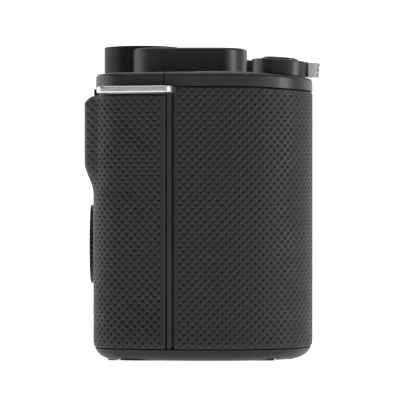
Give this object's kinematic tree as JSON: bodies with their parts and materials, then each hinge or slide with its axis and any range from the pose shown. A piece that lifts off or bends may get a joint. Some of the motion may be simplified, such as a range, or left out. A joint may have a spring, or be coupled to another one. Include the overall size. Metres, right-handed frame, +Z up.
{
  "type": "mirrorless camera body",
  "caption": "Compact rangefinder-shaped camera body with a rounded dimpled grip, raised top housing, tilting rear screen and open lens mount.",
  "frame": {"origin": "on the tripod socket's axis at the plane the feet stand on; X = 0 is also the lens axis and Y = 0 the image plane", "axes": "+X to the camera's left end (grip at -X), +Y to the rear, -Y the way the lens looks, +Z up"},
  "size_m": [0.1313, 0.0535, 0.0741],
  "materials": {
    "top_metal": "satin black coating on magnesium",
    "casing": "fine black paint",
    "rubber": "dimpled black rubber",
    "gloss_black": "polished black",
    "grey_metal": "bead-blasted grey",
    "black_metal": "satin black",
    "steel": "turned",
    "chrome": "polished",
    "brass": "gold plated",
    "black_plastic": "matt moulded",
    "board": "solder resist green",
    "glass": "coated",
    "sensor": "silicon",
    "screen": "dark display glass",
    "label_grey": "satin wrap"
  },
  "bodies": {
    "camera_body": {"front_casing": "casing", "rear_casing": "casing", "top_cover_front": "top_metal", "top_cover_rear": "top_metal", "turret_cover": "top_metal", "base_plate": "casing", "grip_cover_front": "rubber", "grip_cover_rear": "rubber", "front_cover_left": "rubber", "seam_strip": "black_plastic", "chassis": "grey_metal", "lens_mount_ring": "steel", "screws": "steel", "mount_contacts": "brass", "light_baffle": "black_plastic", "shutter_frame": "black_metal", "image_sensor": "sensor", "sensor_glass": "glass", "sensor_carrier": "grey_metal", "main_board": "board", "battery": "label_grey", "battery_bay": "black_plastic", "memory_card": "label_grey", "battery_door_pin": "steel", "tripod_socket": "steel", "feet": "rubber", "key_board": "board", "viewfinder_housing": "black_plastic", "viewfinder_eyecup": "rubber", "viewfinder_optics": "glass", "hot_shoe": "steel", "hot_shoe_contacts": "brass", "microphones": "black_metal", "port_board": "steel", "strap_lugs": "chrome", "assist_lamp": "glass"},
    "thumb_dial_body": {"thumb_dial": "black_metal"},
    "rear_wheel_body": {"rear_wheel": "black_metal"},
    "centre_button_body": {"centre_button": "gloss_black"},
    "menu_button_body": {"menu_button": "black_metal"},
    "function_button_body": {"function_button": "black_metal"},
    "playback_button_body": {"playback_button": "black_metal"},
    "delete_button_body": {"delete_button": "black_metal"},
    "shutter_button_body": {"shutter_button": "gloss_black"},
    "zoom_lever_body": {"zoom_lever": "gloss_black"},
    "record_button_body": {"record_button": "black_metal"},
    "power_lever_body": {"power_lever": "grey_metal"},
    "mode_slider_body": {"mode_slider": "black_metal"},
    "diopter_wheel_body": {"diopter_wheel": "black_metal"},
    "screen_arm_body": {"screen_arm": "black_metal"},
    "lens_release_button_body": {"lens_release_button": "gloss_black"},
    "lens_lock_pin_body": {"lens_lock_pin": "steel"},
    "battery_door_body": {"battery_door": "casing"},
    "battery_door_latch_body": {"battery_door_latch": "black_plastic"},
    "port_door_upper_body": {"port_door_upper": "black_plastic"},
    "port_door_lower_body": {"port_door_lower": "black_plastic"},
    "shutter_blade_1_body": {"shutter_blade_1": "black_metal"},
    "shutter_blade_2_body": {"shutter_blade_2": "black_metal"},
    "screen_body": {"screen_housing": "casing", "screen_glass": "screen"}
  },
  "joints": [
    {"name": "thumb_dial_spin", "type": "hinge", "parent": "camera_body", "child": "thumb_dial_body", "pos_m": [-0.024, 0.00803, 0.068], "axis": [0, 0, 1], "continuous": true},
    {"name": "rear_wheel_spin", "type": "hinge", "parent": "camera_body", "child": "rear_wheel_body", "pos_m": [-0.044, 0.018, 0.02615], "axis": [0, 1, 0], "continuous": true},
    {"name": "centre_button_press", "type": "slide", "parent": "camera_body", "child": "centre_button_body", "axis": [0, -1, 0], "range_m": [0, 0.0004], "stiffness_N_per_m": 300},
    {"name": "menu_button_press", "type": "slide", "parent": "camera_body", "child": "menu_button_body", "axis": [0, -1, 0], "range_m": [0, 0.0005], "stiffness_N_per_m": 300},
    {"name": "function_button_press", "type": "slide", "parent": "camera_body", "child": "function_button_body", "axis": [0, -1, 0], "range_m": [0, 0.0005], "stiffness_N_per_m": 300},
    {"name": "playback_button_press", "type": "slide", "parent": "camera_body", "child": "playback_button_body", "axis": [0, -1, 0], "range_m": [0, 0.0005], "stiffness_N_per_m": 300},
    {"name": "delete_button_press", "type": "slide", "parent": "camera_body", "child": "delete_button_body", "axis": [0, -1, 0], "range_m": [0, 0.0005], "stiffness_N_per_m": 300},
    {"name": "shutter_button_press", "type": "slide", "parent": "camera_body", "child": "shutter_button_body", "axis": [0, 0.0698, -0.9976], "range_m": [0, 0.0009], "stiffness_N_per_m": 300},
    {"name": "zoom_lever_turn", "type": "hinge", "parent": "camera_body", "child": "zoom_lever_body", "pos_m": [-0.0565, -0.024, 0.0647], "axis": [0, -0.0698, 0.9976], "range_deg": [-22, 22], "stiffness_Nm_per_rad": 0.02},
    {"name": "record_button_press", "type": "slide", "parent": "camera_body", "child": "record_button_body", "axis": [0, 0, -1], "range_m": [0, 0.0005], "stiffness_N_per_m": 300},
    {"name": "power_lever_turn", "type": "hinge", "parent": "camera_body", "child": "power_lever_body", "pos_m": [-0.046, -0.0086, 0.066], "axis": [0, 0, 1], "range_deg": [0, 35]},
    {"name": "mode_slider_slide", "type": "slide", "parent": "camera_body", "child": "mode_slider_body", "axis": [1, 0, 0], "range_m": [0, 0.0035]},
    {"name": "diopter_wheel_turn", "type": "hinge", "parent": "camera_body", "child": "diopter_wheel_body", "pos_m": [0.034, 0.0115, 0.072], "axis": [0, 0, 1], "range_deg": [-120, 120]},
    {"name": "screen_arm_tilt", "type": "hinge", "parent": "camera_body", "child": "screen_arm_body", "pos_m": [0, 0.0157, 0.0089], "axis": [-1, 0, 0], "range_deg": [0, 45]},
    {"name": "screen_tilt", "type": "hinge", "parent": "screen_arm_body", "child": "screen_body", "pos_m": [0, 0.0157, 0.0507], "axis": [1, 0, 0], "range_deg": [0, 90]},
    {"name": "lens_release_press", "type": "slide", "parent": "camera_body", "child": "lens_release_button_body", "axis": [0, 1, 0], "range_m": [0, 0.0015], "stiffness_N_per_m": 300},
    {"name": "lens_lock_pin_slide", "type": "slide", "parent": "camera_body", "child": "lens_lock_pin_body", "axis": [0, 1, 0], "range_m": [0, 0.0015], "stiffness_N_per_m": 300},
    {"name": "battery_door_swing", "type": "hinge", "parent": "camera_body", "child": "battery_door_body", "pos_m": [-0.04045, 0, 0.0012], "axis": [0, -1, 0], "range_deg": [0, 105]},
    {"name": "battery_latch_slide", "type": "slide", "parent": "battery_door_body", "child": "battery_door_latch_body", "axis": [1, 0, 0], "range_m": [-0.0012, 0]},
    {"name": "port_door_upper_swing", "type": "hinge", "parent": "camera_body", "child": "port_door_upper_body", "pos_m": [0.0493, -0.0032, 0.0455], "axis": [0, 0, -1], "range_deg": [0, 95]},
    {"name": "port_door_lower_swing", "type": "hinge", "parent": "camera_body", "child": "port_door_lower_body", "pos_m": [0.0493, -0.0032, 0.025], "axis": [0, 0, -1], "range_deg": [0, 95]},
    {"name": "shutter_blade_1_drop", "type": "slide", "parent": "camera_body", "child": "shutter_blade_1_body", "axis": [0, 0, -1], "range_m": [0, 0.0186]},
    {"name": "shutter_blade_2_drop", "type": "slide", "parent": "camera_body", "child": "shutter_blade_2_body", "axis": [0, 0, -1], "range_m": [0, 0.0093]}
  ],
  "couplings": [
    {"joint": "shutter_blade_2_drop", "follows": "shutter_blade_1_drop", "ratio": 0.5},
    {"joint": "lens_lock_pin_slide", "follows": "lens_release_press", "ratio": 1}
  ]
}
